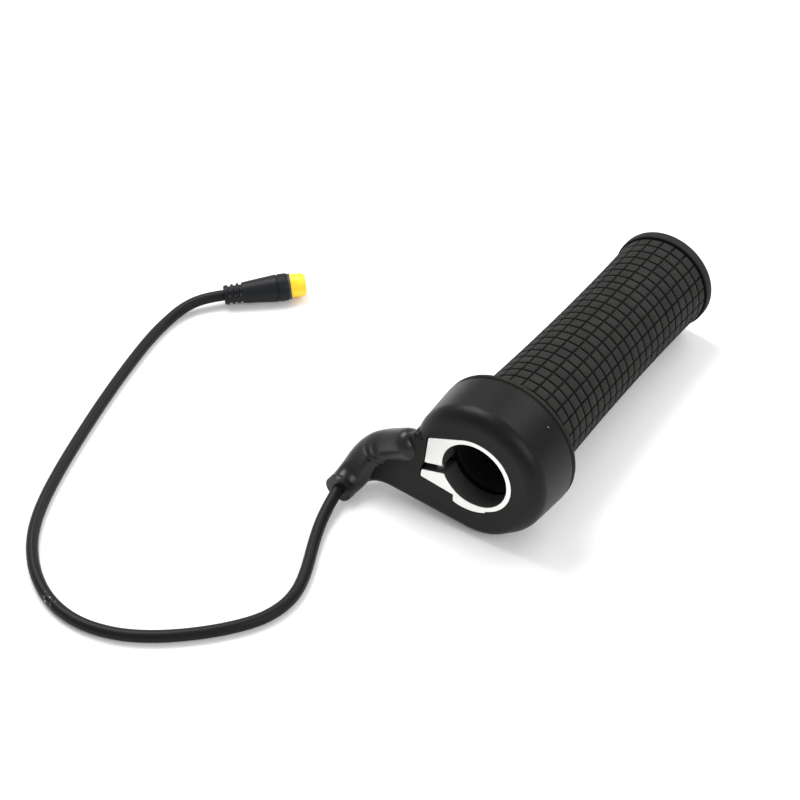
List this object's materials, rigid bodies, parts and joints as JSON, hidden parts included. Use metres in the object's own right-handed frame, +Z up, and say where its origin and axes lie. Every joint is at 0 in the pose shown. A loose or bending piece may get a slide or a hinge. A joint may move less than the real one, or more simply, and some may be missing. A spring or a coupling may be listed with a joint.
{
  "type": "twist throttle",
  "caption": "Twist throttle grip for an electric bicycle handlebar: drum housing with a split metal clamp, block-patterned rubber grip, bent strain relief, cable and round connector.",
  "frame": {"origin": "centre of the handlebar bore on the front face of the clamp", "axes": "+Y along the bore from the clamp face to the closed end of the grip, +Z up on the bar, -X the side where the cable leaves"},
  "size_m": [0.1678, 0.2148, 0.0533],
  "materials": {
    "clamp_aluminium": "fine machined, bright",
    "screw_steel": "plain turned",
    "housing_plastic": "satin moulded, fine grain",
    "washer_nylon": "smooth moulded",
    "sleeve_plastic": "smooth moulded",
    "magnet_nickel": "nickel plated",
    "board_laminate": "lacquered",
    "sensor_epoxy": "moulded",
    "lead_insulation": "smooth",
    "spring_steel": "drawn wire",
    "grip_rubber": "matte, dry",
    "boot_rubber": "smooth, half matte",
    "cable_jacket": "satin jacket with light scuffs",
    "connector_plastic": "moulded",
    "insert_yellow": "moulded",
    "seal_rubber": "smooth",
    "contact_brass": "plain turned"
  },
  "bodies": {
    "housing": {"housing": "housing_plastic", "clamp_ring": "clamp_aluminium", "clamp_screw": "screw_steel", "rear_cover": "housing_plastic", "cover_screws": "screw_steel", "thrust_washer": "washer_nylon", "sensor_board": "board_laminate", "hall_sensor": "sensor_epoxy", "sensor_leads": "lead_insulation", "return_spring": "spring_steel", "cable_boot": "boot_rubber", "cable": "cable_jacket", "connector_body": "connector_plastic", "connector_insert": "insert_yellow", "connector_seal": "seal_rubber", "contact_pins": "contact_brass"},
    "grip": {"twist_sleeve": "sleeve_plastic", "grip_rubber": "grip_rubber", "magnet_1": "magnet_nickel", "magnet_2": "magnet_nickel"}
  },
  "joints": [
    {"name": "grip_twist", "type": "hinge", "parent": "housing", "child": "grip", "pos_m": [0, 0, 0], "axis": [0, 1, 0], "range_deg": [0, 65], "stiffness_Nm_per_rad": 0.15, "springref_deg": -20.05, "deforming": ["return_spring"]}
  ]
}
